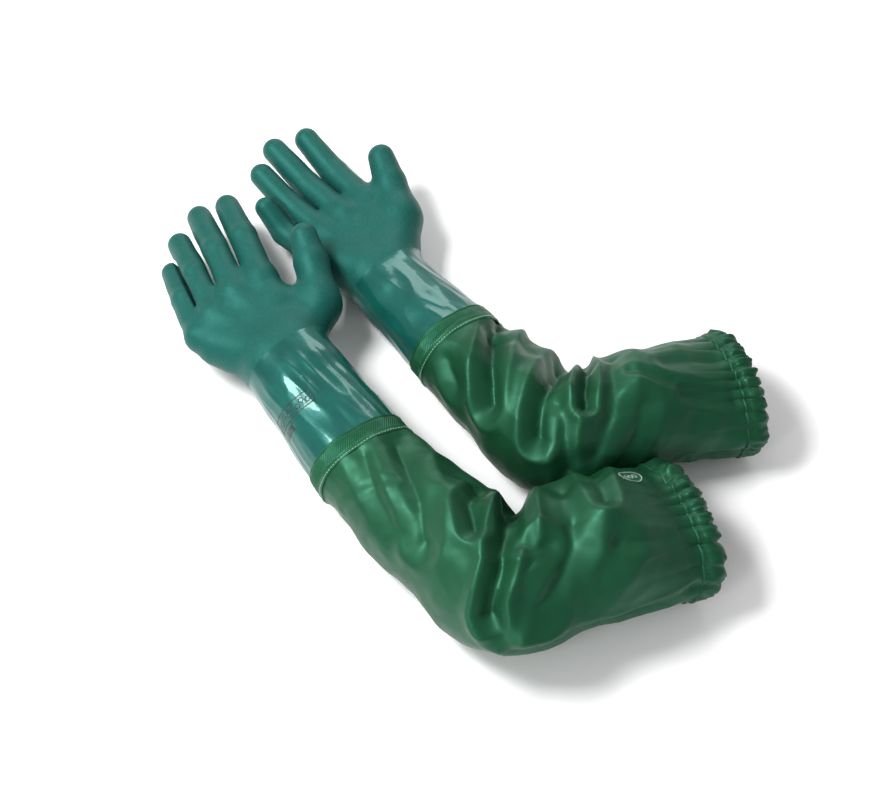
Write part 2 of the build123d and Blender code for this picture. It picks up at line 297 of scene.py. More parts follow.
    def skin(self):
        """Points and faces of the whole dipped skin, worked out only in blocks near it."""
        ends = np.array([b for bones in self.bones.values() for b in bones]
                        + [self.wrist, self.band])
        low = ends.min(0) - (60 * MM, 48 * MM, 48 * MM)
        block = BLOCK * VOXEL
        count = np.ceil((ends.max(0) + (30 * MM, 20 * MM, 48 * MM) - low) / block).astype(int)

        def lattice(step, size):
            x, y, z = (low[k] + (np.arange(size[k]) + 0.5) * step for k in range(3))
            return np.stack(np.meshgrid(x, y, z, indexing="ij"), -1)

        rough = self.skin_distance(lattice(block, count).reshape(-1, 3)).reshape(count)
        d, near = rough, np.abs(rough) < 1.4 * block
        for axis in range(3):
            d, near = np.repeat(d, BLOCK, axis), np.repeat(near, BLOCK, axis)
        d[near] = self.skin_distance(lattice(VOXEL, count * BLOCK)[near])
        volume = openvdb.FloatGrid()
        volume.background = 1.0
        volume.copyFromArray(d / VOXEL)
        points, quads = volume.convertToPolygons(isovalue=0.0, adaptivity=0.0)[::2]
        points = (np.array(points, float) + 0.5) * VOXEL + low
        return points, np.array(quads)


def smoothed(points, quads, rounds):
    """Points moved towards the mean of their neighbours."""
    a = quads.ravel()
    b = np.roll(quads, -1, axis=1).ravel()
    count = np.bincount(a, minlength=len(points)) + np.bincount(b, minlength=len(points))
    for _ in range(rounds):
        total = np.stack([np.bincount(a, points[b, k], len(points))
                          + np.bincount(b, points[a, k], len(points)) for k in range(3)], 1)
        points = points + 0.5 * (total / count[:, None] - points)
    return points


def mesh_normals(mesh):
    normals = np.empty(len(mesh.vertices) * 3, np.float32)
    mesh.vertex_normals.foreach_get("vector", normals)
    return normals.reshape(-1, 3)


def rumple(points, scale, seed=0.0):
    """Smooth noise from -1 to 1 at each point; scale is one length or one along each axis."""
    places = points / scale + seed
    return np.array([noise.noise(Vector(p)) for p in places])


def part_of(name, mesh_points, normals, faces, material, caps=()):
    """A piece made of some faces of a bigger mesh, shaded as the whole. Each cap is a
    (loop edges, centre, way) that closes it inside with a fan facing that way."""
    used = sorted({v for f in faces for v in f})
    index = {v: i for i, v in enumerate(used)}
    points = [mesh_points[v] for v in used]
    shade = [normals[v] for v in used]
    made = [[index[v] for v in f] for f in faces]
    for edges, centre, way in caps:
        again = {}
        for a, b in edges:
            for v in (a, b):
                if v not in again:
                    again[v] = len(points)
                    points.append(mesh_points[v])
                    shade.append(way)
        hub = len(points)
        points.append(centre)
        shade.append(way)
        made += [[again[b], again[a], hub] for a, b in edges]
    piece = new_piece(name, points, made, material)
    piece.data.normals_split_custom_set_from_vertices([tuple(n) for n in shade])
    return piece


def open_edges(faces):
    """Edges, in the direction of their face, that only one of the faces has."""
    edges = {}
    for f in faces:
        for a, b in zip(f, list(f[1:]) + [f[0]]):
            edges[(a, b)] = True
    return [e for e in edges if (e[1], e[0]) not in edges]


def build_hand_and_cuff(side, hand, looks):
    """The dipped palm, stalls and cuff of one glove, and the cuff's cotton lining."""
    points, quads = hand.skin()
    points = smoothed(points, quads, 3)
    # The cuff is thin and crinkled; the hand has only slight, wide unevenness.
    raw = new_piece("skin", points, quads)
    normals = mesh_normals(raw.data).astype(float)
    behind = -(points - hand.wrist) @ hand.edge_way
    on_cuff = np.clip((behind - 3 * MM) / (26 * MM), 0, 1)
    stretch = np.array((11 * MM, 60 * MM, 11 * MM))
    creases = 1 - 2 * np.abs(rumple(points, stretch, 3.1))
    points = points + normals * (0.55 * MM * rumple(points, 24 * MM, 7.7)
                                 + on_cuff * 0.8 * MM * creases)[:, None]
    raw.data.vertices.foreach_set("co", leaned(side, points).ravel())
    cut = bmesh.new()
    cut.from_mesh(raw.data)
    for place, way, clear in ((hand.wrist, hand.edge_way, False),
                              (hand.band - hand.cuff_way * 3 * MM, hand.cuff_way, True)):
        bmesh.ops.bisect_plane(cut, geom=cut.verts[:] + cut.edges[:] + cut.faces[:],
                               dist=1e-5, plane_co=place, plane_no=way, clear_inner=clear)
    cut.to_mesh(raw.data)
    cut.free()
    raw.data.update()
    points, normals = piece_points(raw), mesh_normals(raw.data).astype(float)
    faces = [list(p.vertices) for p in raw.data.polygons]
    bpy.data.objects.remove(raw)

    middles = np.array([points[f].mean(0) for f in faces])
    ahead = (middles - hand.wrist) @ hand.edge_way
    region = np.where(ahead > 0, "palm", "cuff").astype("U16")
    gaps = {d: hand.axis_distance(middles, d) - DIGIT_RADII[d][0] for d in DIGITS}
    nearest = np.array(DIGITS)[np.argmin([gaps[d] for d in DIGITS], 0)]
    for digit in DIGITS:
        knuckle, middle, tip = hand.bones[digit]
        way = unit(middle - knuckle)
        out = (middles - knuckle) @ way
        mine = (nearest == digit) & (gaps[digit] < 9 * MM)
        start = THUMB_ROOT if digit == "thumb" else FINGER_ROOT
        region[mine & (out > start)] = digit + "_base"
        region[mine & (out > np.linalg.norm(middle - knuckle) / 2)] = digit + "_tip"

    def of_region(name):
        return [faces[i] for i in np.nonzero(region == name)[0]]

    made = {}
    for digit in DIGITS:
        knuckle, middle, tip = hand.bones[digit]
        way = unit(middle - knuckle)
        lower, upper = of_region(digit + "_base"), of_region(digit + "_tip")
        half = knuckle + way * np.linalg.norm(middle - knuckle) * 0.25
        root = [e for e in open_edges(lower) if (points[e[0]] - half) @ way < 0]
        made[digit] = (root, knuckle, way)
        base = part_of(f"{side}_{digit}_stall", points, normals, lower, looks["grip"],
                       [(root, knuckle, -way)])
        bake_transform(base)
        end = part_of(f"{side}_{digit}_end", points, normals, upper, looks["grip"])
        way = unit(way + unit(tip - middle))
        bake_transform(end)
        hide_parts(f"{side}_{digit}_base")
        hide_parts(f"{side}_{digit}_tip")

    palm_faces = of_region("palm")
    edges = open_edges(palm_faces)
    caps = [([], knuckle - way * 4 * MM, way) for root, knuckle, way in made.values()]
    places = np.array([made[d][1] for d in DIGITS])
    for a, b in edges:
        if (points[a] - hand.wrist) @ hand.edge_way > 2 * MM:
            caps[int(np.argmin(np.linalg.norm(places - points[a], axis=1)))][0].append((a, b))
    palm = part_of(f"{side}_palm", points, normals, palm_faces, looks["grip"], caps)
    cuff = part_of(f"{side}_gauntlet", points, normals, of_region("cuff"), looks["gloss"])
    lining = new_piece(f"{side}_cotton_lining",
                       piece_points(cuff) - LINING_INSET * mesh_normals(cuff.data),
                       [list(p.vertices)[::-1] for p in cuff.data.polygons], looks["knit"])
    for piece in (palm, cuff, lining):
        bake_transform(piece)
    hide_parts(f"{side}_palm_shell", f"{side}_palm_liner")
    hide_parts(f"{side}_cuff", f"{side}_wrist_fold")
    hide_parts(f"{side}_cuff_liner")
    return cuff


# ---- the sleeves ----
AROUND = 288
RING_STEP = 2.5 * MM
TUCK = 5 * MM                    # how far a sleeve runs on under its band
CLOTH = 0.8 * MM
TAPE_HALF = 5                    # columns of a sleeve to each side of its seam
SLEEVE_PATHS = {      # the middle of each sleeve from its hem to its band, in millimetres
    "left": ((11.5, -258, 39), (-32.5, -245, 56), (-82.5, -226, 58), (-130.5, -208, 57),
             (-132.5, -162, 55), (-137.5, -94, 49), (-137.5, -36, 44)),
    "right": ((155.5, -175.5, 37), (97.5, -152, 50), (61.5, -139, 53), (8.5, -120, 53),
              (3.5, -59, 50), (1.5, -27, 47), (0.5, 6, 44)),
}
# Each fold is a hollow along a line over the sleeve, with a soft ridge round it:
# (depth, half width, points along it), in millimetres. A negative depth is a swelling.
FOLDS = {
    "left": (
        (7, 12, (-115, -55, 86), (-131, -85, 95), (-150, -120, 101), (-172, -150, 92)),
        (8, 8, (-98, -145, 98), (-120, -152, 106), (-135, -177, 110)),
        (15, 8, (-78, -157, 62), (-94, -171, 88), (-122, -197, 111), (-142, -217, 112),
         (-162, -230, 104), (-176, -239, 87)),
        (9, 8, (-82, -175, 84), (-97, -187, 104), (-118, -215, 114)),
        (9, 10, (-106, -227, 114), (-131, -235, 111), (-154, -246, 99), (-171, -251, 80)),
        (10, 13, (-50, -191, 96), (-73, -227, 115), (-88, -243, 113), (-112, -257, 104),
         (-140, -263, 92)),
        (8, 8, (-16, -189, 78), (-28, -205, 101), (-40, -229, 113)),
        (5, 13, (-60, -263, 109), (-89, -275, 95), (-118, -277, 81)),
        (3, 6, (-56, -267, 108), (-28, -281, 100), (8, -294, 85)),
        (4, 5, (-168, -262, 62), (-130, -281, 60), (-88, -293, 52), (-13, -318, 48)),
        (3, 10, (-149, -47, 86), (-164, -77, 87), (-178, -125, 82)),
        (1.2, 4, (-186, -63, 55), (-168, -75, 84), (-151, -87, 94)),
        (2.5, 6, (-20, -206, 92), (-8, -214, 88), (2, -226, 84)),
        (6, 15, (-104, -115, 84), (-94, -140, 84), (-78, -158, 80)),
        (6, 18, (-176, -256, 25), (-148, -274, 25), (-108, -282, 25)),
        (-4, 26, (-187, -90, 30), (-190, -140, 30), (-186, -190, 30)),
    ),
    "right": (
        (6, 20, (15, -5, 80), (33, -40, 92), (38, -70, 92)),
        (13, 9, (43, -5, 60), (22, -21, 86), (-2, -39, 95), (-22, -57, 92), (-38, -75, 83)),
        (4, 9, (-32, -11, 79), (-42, -35, 72)),
        (13, 9, (50, -77, 68), (30, -89, 94), (8, -101, 103), (-16, -117, 101),
         (-30, -131, 91)),
        (7, 7, (4, -122, 105), (-14, -145, 96), (-24, -165, 72)),
        (12, 6, (62, -93, 68), (54, -103, 90), (36, -119, 103), (18, -138, 105)),
        (7, 11, (80, -105, 88), (53, -137, 105), (30, -159, 100), (0, -173, 80)),
        (6, 11, (60, -166, 97), (32, -182, 78), (14, -186, 60)),
        (5, 6, (102, -179, 91), (123, -193, 84), (141, -205, 74)),
        (3, 5, (76, -135, 102), (107, -173, 94), (144, -196, 80)),
        (5, 5, (86, -205, 36), (118, -219, 32), (144, -227, 34)),
        (3, 8, (110, -145, 92), (138, -155, 82), (160, -165, 66)),
    ),
}
PUCKERS = 21                     # gathers round each arm opening
HEM_SWELL = 4 * MM               # the cloth opens out towards its hem
HEM_WIDTH = 19 * MM


def smooth_path(stops, step):
    """Evenly spaced points on a curve through the stops, and the way it runs at each."""
    stops = np.array(stops, float)
    ends = np.vstack([2 * stops[0] - stops[1], stops, 2 * stops[-1] - stops[-2]])
    fine = []
    for k in range(len(stops) - 1):
        p0, p1, p2, p3 = ends[k:k + 4]
        for t in np.linspace(0, 1, 60, endpoint=False):
            fine.append(0.5 * (2 * p1 + (p2 - p0) * t + (2 * p0 - 5 * p1 + 4 * p2 - p3) * t ** 2
                               + (3 * p1 - p0 - 3 * p2 + p3) * t ** 3))
    fine = np.array(fine + [stops[-1]])
    far = np.concatenate([[0], np.cumsum(np.linalg.norm(np.diff(fine, axis=0), axis=1))])
    even = np.linspace(0, far[-1], int(round(far[-1] / step)) + 1)
    points = np.stack([np.interp(even, far, fine[:, k]) for k in range(3)], 1)
    ways = np.gradient(points, axis=0)
    return points, ways / np.linalg.norm(ways, axis=1)[:, None]


def blurred(grid, rounds, around=True):
    """A grid of rings smoothed along its length, and round its rings too."""
    for _ in range(rounds):
        if around:
            grid = (2 * grid + np.roll(grid, 1, 1) + np.roll(grid, -1, 1)) / 4
        padded = np.concatenate([grid[:1], grid, grid[-1:]])
        grid = (2 * grid + padded[:-2] + padded[2:]) / 4
    return grid


def tube_faces(rings, around, closed=False):
    """Faces of a tube made ring by ring; a closed one joins its last ring to its first."""
    faces = []
    for i in range(rings if closed else rings - 1):
        j = (i + 1) % rings
        for k in range(around):
            n = (k + 1) % around
            faces.append((i * around + k, j * around + k, j * around + n, i * around + n))
    return faces


def ring_spokes(ways, angles):
    level = np.cross(ways, UP)
    level /= np.linalg.norm(level, axis=1)[:, None]
    rise = np.cross(level, ways)
    return (np.cos(angles)[None, :, None] * level[:, None, :]
            + np.sin(angles)[None, :, None] * rise[:, None, :])


def line_distance(p, stops):
    """Distance from the points p to a line through the stops."""
    found = np.full(len(p), 1.0)
    for a, b in zip(stops, stops[1:]):
        found = np.minimum(found, cone(p, a, b, 0, 0))
    return found


def folded(points, side):
    """How far each point of a sleeve sinks into its folds."""
    sunk = np.zeros(len(points))
    for depth, half_width, *stops in FOLDS[side]:
        stops = np.array(stops, float) * MM
        ratio = line_distance(points, stops) / (half_width * MM)
        hollow = np.exp(-np.abs(ratio) ** 1.35)
        ridge = np.exp(-np.abs((ratio - 2.0) / 0.8) ** 1.5)
        sunk += depth * MM * (1.08 * hollow - 0.42 * ridge)
    return sunk


def pucker(angles, seed):
    """Uneven gathers round a hem: crests near 1 with narrow creases near -1 between them."""
    sway = 0.35 * np.sin(2 * angles + seed) + 0.25 * np.sin(3 * angles + 2.1 * seed)
    wave = np.abs(np.sin((PUCKERS * angles + 2.2 * sway * math.pi) / 2))
    size = 0.75 + 0.25 * np.sin(5 * angles + seed * 1.7)
    return (2 * wave ** 0.55 - 1) * size


def node_tree(name):
    mesh = frame["nodes"][name].data
    return BVHTree.FromPolygons([v.co for v in mesh.vertices],
                                [p.vertices for p in mesh.polygons])


def piece_tree(piece):
    return BVHTree.FromPolygons([v.co for v in piece.data.vertices],
                                [p.vertices for p in piece.data.polygons])


def reach_in(tree, centre, spoke, missing):
    """How far from the centre the surface stands that is met first from outside."""
    far = 0.16
    hit = tree.ray_cast(Vector(centre + spoke * far), Vector(-spoke), far)[3]
    return missing if hit is None else far - hit


def sleeve_grid(side, hand, cuff):
    """The sleeve as rings of points from the hem to the band, and its outward ways."""
    stops = np.array(SLEEVE_PATHS[side]) * MM
    stops = np.vstack([stops, stops[-1] + hand.cuff_way * TUCK])
    centres, ways = smooth_path(stops, RING_STEP)
    ends = ways[:1].repeat(40, 0), unit(hand.cuff_way)[None].repeat(40, 0)
    ways = blurred(np.concatenate([ends[0], ways, ends[1]]), 700, around=False)[40:-40]
    ways /= np.linalg.norm(ways, axis=1)[:, None]
    angles = np.linspace(0, 2 * math.pi, AROUND, endpoint=False)
    spokes = ring_spokes(ways, angles)
    trees = [node_tree(f"{side}_{name}")
             for name in ("upper_sleeve", "elbow_fold", "forearm_sleeve")]
    radii = np.full((len(centres), AROUND), np.nan)
    for i in range(len(centres)):
        for k in range(AROUND):
            reach = [tree.ray_cast(Vector(centres[i]), Vector(spokes[i, k]), 0.14)[3]
                     for tree in trees]
            reach = [r for r in reach if r]
            if reach:
                radii[i, k] = min(reach) + CLOTH
    for k in range(AROUND):
        known = ~np.isnan(radii[:, k])
        radii[:, k] = np.interp(np.arange(len(centres)), np.nonzero(known)[0],
                                radii[known, k])
    radii = blurred(radii, 10)
    far = np.arange(len(centres))[:, None] * RING_STEP
    rest = (len(centres) - 1) * RING_STEP - far
    coat = piece_tree(cuff)
    under_band = leaned(side, centres[-1:])[0] + hand.cuff_way * 6 * MM
    coated = np.array([reach_in(coat, under_band, spoke, 0) for spoke in spokes[-1]])
    wider = np.clip(coated + 0.6 * MM - radii[-1], 0, None)
    radii += wider * smooth_step(1 - rest / (60 * MM))
    radii += HEM_SWELL * np.exp(-np.arange(len(centres)) * RING_STEP / (45 * MM))[:, None]
    grid = centres[:, None] + spokes * radii[:, :, None]
    flat = grid.reshape(-1, 3)
    free = np.clip(rest / (22 * MM), 0, 1) * np.clip(far / (10 * MM), 0, 1)
    free = free * free * (3 - 2 * free)
    sink = folded(flat, side).reshape(radii.shape)
    wander = (1.2 * rumple(flat, 60 * MM, 5.0) + 0.5 * rumple(flat, 17 * MM, 2.0)
              - 3.2 * np.abs(rumple(flat, 48 * MM, 9.0)) - 1.4 * np.abs(rumple(flat, 23 * MM, 1.0)))
    sink = sink - wander.reshape(radii.shape) * MM
    gather = pucker(angles, 1.0 if side == "left" else 2.6)[None, :]
    pleats = 2.3 * MM * gather * np.exp(-far / (17 * MM))
    near_floor = np.clip((grid[:, :, 2] - 2 * MM) / (14 * MM), 0, 1)
    out = (pleats - sink * free) * (0.25 + 0.75 * near_floor)
    grid = grid + spokes * out[:, :, None]
    grid[:, :, 2] = np.maximum(grid[:, :, 2], FLOOR_GAP)
    return grid, centres, ways, spokes, angles


def shell(name, outer, inner, materials):
    """A thin tube closed at both ends, from its outer and inner rings of points."""
    rings, around = outer.shape[:2]
    faces = tube_faces(rings, around)
    count = rings * around
    inside = [tuple(v + count for v in f[::-1]) for f in faces]
    rims = []
    for row, turned in ((0, False), (rings - 1, True)):
        for k in range(around):
            a, b = row * around + k, row * around + (k + 1) % around
            rim = (a, b, b + count, a + count)
            rims.append(rim[::-1] if turned else rim)
    piece = new_piece(name, np.vstack([outer.reshape(-1, 3), inner.reshape(-1, 3)]),
                      faces + inside + rims, materials[0])
    if len(materials) > 1:
        piece.data.materials.append(materials[1])
        marks = [0] * len(faces) + [1] * len(inside) + [0] * len(rims)
        piece.data.polygons.foreach_set("material_index", marks)
    return piece


def grid_normals(grid):
    """Outward ways of a closed grid of rings, one for each of its points."""
    along = np.gradient(grid, axis=0)
    across = np.roll(grid, -1, 1) - np.roll(grid, 1, 1)
    normals = np.cross(along, across)
    normals /= np.maximum(np.linalg.norm(normals, axis=2), 1e-9)[:, :, None]
    outward = grid - grid.mean(1)[:, None]
    return normals * np.sign((normals * outward).sum() or 1)


def build_sleeve(side, hand, cuff, looks):
    grid, centres, ways, spokes, angles = sleeve_grid(side, hand, cuff)
    normals = grid_normals(grid)
    inner = grid - normals * CLOTH
    sleeve = shell(f"{side}_sleeve", grid, inner, (looks["cloth"], looks["backing"]))
    lean_piece(side, sleeve)
    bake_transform(sleeve)
    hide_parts(f"{side}_upper_sleeve", f"{side}_elbow_fold",
                f"{side}_forearm_sleeve")
    # A tape covers the seam inside, along the line of rings nearest the CAD tape.
    for part in ("upper", "forearm"):
        name = f"{side}_{part}_seam_tape"
        goal = node_points(name)
        gaps = np.linalg.norm(grid[:, :, None] - goal[::max(1, len(goal) // 40)], axis=3).min(2)
        low, high = (4, 46) if part == "upper" else (len(grid) - 50, len(grid) - 8)
        column = int(np.argmin(gaps[low:high].mean(0)))
        columns = (column + np.arange(-TAPE_HALF, TAPE_HALF + 1)) % AROUND
        face = (inner - normals * 0.15 * MM)[low:high, columns]
        back = (inner - normals * 0.55 * MM)[low:high, columns]
        loop = np.concatenate([face, back[:, ::-1]], 1)
        rings, around = loop.shape[:2]
        faces = tube_faces(rings, around)
        for row, turned in ((0, True), (rings - 1, False)):
            for k in range(around // 2 - 1):
                cap = (row * around + k, row * around + k + 1,
                       row * around + around - 2 - k, row * around + around - 1 - k)
                faces.append(cap[::-1] if turned else cap)
        tape = new_piece(name, loop.reshape(-1, 3), faces, looks["tape"])
        lean_piece(side, tape)
        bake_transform(tape)
        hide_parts(name)
    return sleeve, grid, centres, ways, spokes, angles


# ---- hem, band and stitches ----
def stitches(name, path, normals, material, length, gap, radius):
    """A row of short threads along a closed path, each end sunk into the cloth."""
    ahead = np.roll(path, -1, 0) - path
    far = np.concatenate([[0], np.cumsum(np.linalg.norm(ahead, axis=1))])
    closed = np.vstack([path, path[:1]])
    ways = np.vstack([normals, normals[:1]])
    count = int(far[-1] / (length + gap))
    pitch = far[-1] / count
    profile = ((0.0, -0.9, 0.55), (0.18, 0.25, 0.9), (0.5, 0.55, 1.0), (0.82, 0.25, 0.9),
               (1.0, -0.9, 0.55))
    sides = 6
    points, faces = [], []
    for i in range(count):
        start = len(points)
        for t, lift, thick in profile:
            at = i * pitch + t * length
            p = np.array([np.interp(at, far, closed[:, k]) for k in range(3)])
            q = np.array([np.interp(at + 0.3 * MM, far, closed[:, k]) for k in range(3)])
            n = np.array([np.interp(at, far, ways[:, k]) for k in range(3)])
            way = unit(q - p)
            n = unit(n - way * (n @ way))
            b = np.cross(way, n)
            p = p + n * lift * radius
            for k in range(sides):
                turn = 2 * math.pi * k / sides
                points.append(p + (n * math.cos(turn) + b * math.sin(turn)) * radius * thick)
        for r in range(len(profile) - 1):
            for k in range(sides):
                m = (k + 1) % sides
                a = start + r * sides
                faces.append((a + k, a + m, a + sides + m, a + sides + k))
        last = start + (len(profile) - 1) * sides
        faces.append(tuple(start + k for k in reversed(range(sides))))
        faces.append(tuple(last + k for k in range(sides)))
    return new_piece(name, points, faces, material)


def loop_tube(name, rings, material):
    """A closed tube whose sections are the rings; rings has (around, section, 3)."""
    around, section = rings.shape[:2]
    faces = tube_faces(around, section, closed=True)
    return new_piece(name, rings.reshape(-1, 3), faces, material)


def hem_floor(bulge):
    """The least height of a layer of the casing, so that inner layers rest on outer ones."""
    return (0.6 + 0.8 * max(0.0, 2.4 - bulge)) * MM


def build_hem(side, made, looks):
    """The gathered casing at the arm opening, its elastic and its row of stitches."""
    grid, centres, ways, spokes, angles = made[1:]
    centre, out = centres[0], -ways[0]
    casing = node_tree(f"{side}_hem_casing")
    ring = np.linalg.norm(grid[1] - centres[1], axis=1)
    radius = np.array([reach_in(casing, centre + out * HEM_WIDTH * 0.45, spoke, r)
                       for spoke, r in zip(spokes[0], ring)])
    radius = np.array([radius[np.arange(k - 6, k + 7) % AROUND].mean() + HEM_SWELL
                       for k in range(AROUND)])
    seed = 1.0 if side == "left" else 2.6
    gather = pucker(angles, seed)
    second = np.sin(PUCKERS * 2 * angles + 4 * np.sin(angles * 3 + seed))
    # Across the casing: how far along it, how far out of its middle, how much it gathers.
    outline = ((-0.10, 0.4, 0.35), (0.02, 0.9, 0.45), (0.10, 0.2, 0.25), (0.2, 1.5, 0.9),
               (0.38, 2.3, 1.2), (0.56, 2.4, 1.25), (0.74, 1.8, 1.2), (0.88, 0.6, 1.1),
               (0.97, -1.2, 0.9), (1.0, -2.8, 0.7), (0.94, -4.2, 0.4), (0.75, -4.9, 0.3),
               (0.45, -5.1, 0.3), (0.15, -4.6, 0.3), (-0.05, -3.2, 0.25), (-0.13, -1.2, 0.3))
    base = grid[1] - centres[1]
    rings = []
    for k in range(AROUND):
        spoke = spokes[0, k]
        section = []
        for far, bulge, share in outline:
            edge = max(far, 0.0)
            lie = far * HEM_WIDTH + edge ** 2 * (2.4 * gather[k] + 0.5 * second[k]) * MM
            lift = (bulge + share * (2.0 * gather[k] - 0.7) + 0.5 * second[k] * share) * MM
            blend_in = min(max(far / 0.3, 0.0), 1.0)
            own = radius[k] * blend_in + (np.linalg.norm(base[k]) + 0.6 * MM) * (1 - blend_in)
            section.append(centre + out * lie + spoke * (own + lift))
        rings.append(section)
    rings = np.array(rings)
    flat = rings.reshape(-1, 3)
    crumple = (3.4 * np.abs(rumple(flat, 8 * MM, seed)) - 0.8
               + 1.5 * np.abs(rumple(flat, 4.5 * MM, seed)) - 0.35)
    share = np.array([min(max(far / 0.3, 0.0), 1.0) for far, bulge, share in outline])
    rings += spokes[0][:, None] * (crumple.reshape(rings.shape[:2]) * share * MM)[:, :, None]
    floor = np.array([hem_floor(bulge) for far, bulge, share in outline])[None]
    low = rings[:, :, 2] < floor
    rings[:, :, 2] = np.where(low, floor + (rings[:, :, 2] - floor) * 0.01, rings[:, :, 2])
    hem = loop_tube(f"{side}_gathered_hem", rings, looks["cloth"])
    band = []
    for k in range(AROUND):
        spoke = spokes[0, k]
        wave = 0.35 * math.sin(PUCKERS * 3 * angles[k]) * MM
        band.append([centre + out * HEM_WIDTH * far + spoke * (radius[k] + (lift - 1.6) * MM + wave)
                     for far, lift in ((0.3, 0), (0.7, 0), (0.7, -1.3), (0.3, -1.3))])
    band = np.array(band)
    least = [hem_floor(-1.6 + lift) for lift in (0, 0, -1.3, -1.3)]
    band[:, :, 2] = np.maximum(band[:, :, 2], least)
    elastic = loop_tube(f"{side}_elastic", band, looks["elastic"])
    outward = spokes[0]
    row = rings[:, 2]
    row[:, 2] = np.maximum(row[:, 2], 1.0 * MM)
    thread = stitches(f"{side}_hem_thread", row + outward * 0.1 * MM, outward, looks["dark_thread"],
                      2.6 * MM, 0.9 * MM, 0.38 * MM)
    for piece, node, slot in ((hem, "hem_casing", "sleeve_cloth"),
                              (elastic, "hem_elastic", "elastic"),
                              (thread, "hem_stitching", "thread")):
        lean_piece(side, piece)
        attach(piece, f"{side}_upper_arm")
        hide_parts(f"{side}_{node}")


BAND_RIBS = 118
BAND_AROUND = 944                # eight points for each rib
BAND_THICK = 1.6 * MM


def build_band(side, hand, sleeve, cuff, looks):
    """The ribbed band welded over the join of the cuff and the sleeve, and its stitches."""
    start = np.array(SLEEVE_PATHS[side][-1]) * MM
    way = unit(hand.cuff_way)
    turns = np.linspace(0, 2 * math.pi, BAND_AROUND, endpoint=False)
    ring = ring_spokes(way[None], turns)[0]
    cloth, coat = piece_tree(sleeve), piece_tree(cuff)
    lean = leaned(side, start[None])[0] - start
    rows = np.concatenate([[-3.2], np.linspace(-2.9, 16.7, 30), [17.0]]) * MM
    outer = []
    for far in rows:
        under = [reach_in(cloth, start + lean + way * min(far, TUCK - 1 * MM), spoke, 0)
                 for spoke in ring[::8]]
        dipped = [reach_in(coat, start + lean + way * max(far, 6.5 * MM), spoke, 0)
                  for spoke in ring[::8]]
        size = np.maximum(np.array(under) * (far < TUCK) + 0.5 * MM,
                          np.array(dipped) + 0.9 * MM)
        size = np.interp(np.arange(BAND_AROUND) / 8, np.arange(len(size) + 1),
                         np.append(size, size[0]))
        outer.append(size)
    outer = blurred(np.array(outer), 6)
    far = rows[:, None]
    rib = np.sin(BAND_RIBS * turns[None] + far / (3.4 * MM) * 2 * math.pi)
    field = np.clip((far - 1.8 * MM) / MM, 0, 1) * np.clip((14.6 * MM - far) / MM, 0, 1)
    bead = np.exp(-((far - 16 * MM) / (0.9 * MM)) ** 2)
    welt = np.exp(-((far + 1.2 * MM) / (1.1 * MM)) ** 2)
    groove = np.exp(-((far - 0.8 * MM) / (0.6 * MM)) ** 2)
    groove = groove + np.exp(-((far - 14.7 * MM) / (0.5 * MM)) ** 2)
    size = outer + (0.32 * rib * field + 0.5 * bead + 0.3 * welt - 0.4 * groove) * MM
    points = start + way * rows[:, None, None] + ring[None] * size[:, :, None]
    points[:, :, 2] = np.maximum(points[:, :, 2], 0.2 * MM)
    thin = (size - BAND_THICK)[:, :, None]
    inside = start + way * rows[:, None, None] + ring[None] * thin
    inside[:, :, 2] = np.maximum(inside[:, :, 2], 0.9 * MM)
    band = shell(f"{side}_ribbed_band", points[::-1], inside[::-1], (looks["band"],))
    row = points[3][::8]
    thread = stitches(f"{side}_band_thread", row + ring[::8] * 0.1 * MM, ring[::8],
                      looks["thread"], 2.4 * MM, 0.7 * MM, 0.34 * MM)
    for piece, node, slot in ((band, "joining_band", "weld_band"),
                              (thread, "band_stitching", "thread")):
        lean_piece(side, piece)
        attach(piece, f"{side}_forearm")
        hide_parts(f"{side}_{node}")


# ---- marks ----
def hexagon(x, y, size):
    return [(x + size * math.cos(math.radians(60 * k + 30)),
             y + size * math.sin(math.radians(60 * k + 30))) for k in range(6)]


def oval(width, height, count=40):
    return [(width * math.cos(2 * math.pi * k / count) / 2,
             height * math.sin(2 * math.pi * k / count) / 2) for k in range(count)]


def offset_loop(loop, amount):
    """A convex loop drawn in by an amount, for the inner edge of an outline."""
    loop = np.array(loop)
    middle = loop.mean(0)
    made = []
    for p, before, after in zip(loop, np.roll(loop, 1, 0), np.roll(loop, -1, 0)):
        way = unit(unit(p - before) + unit(after - p))
        normal = np.array((-way[1], way[0]))
        normal *= np.sign(normal @ (middle - p)) or 1
        corner = max(0.5, abs(way @ unit(after - p)))
        made.append(p + normal * amount / corner)
    return np.array(made)


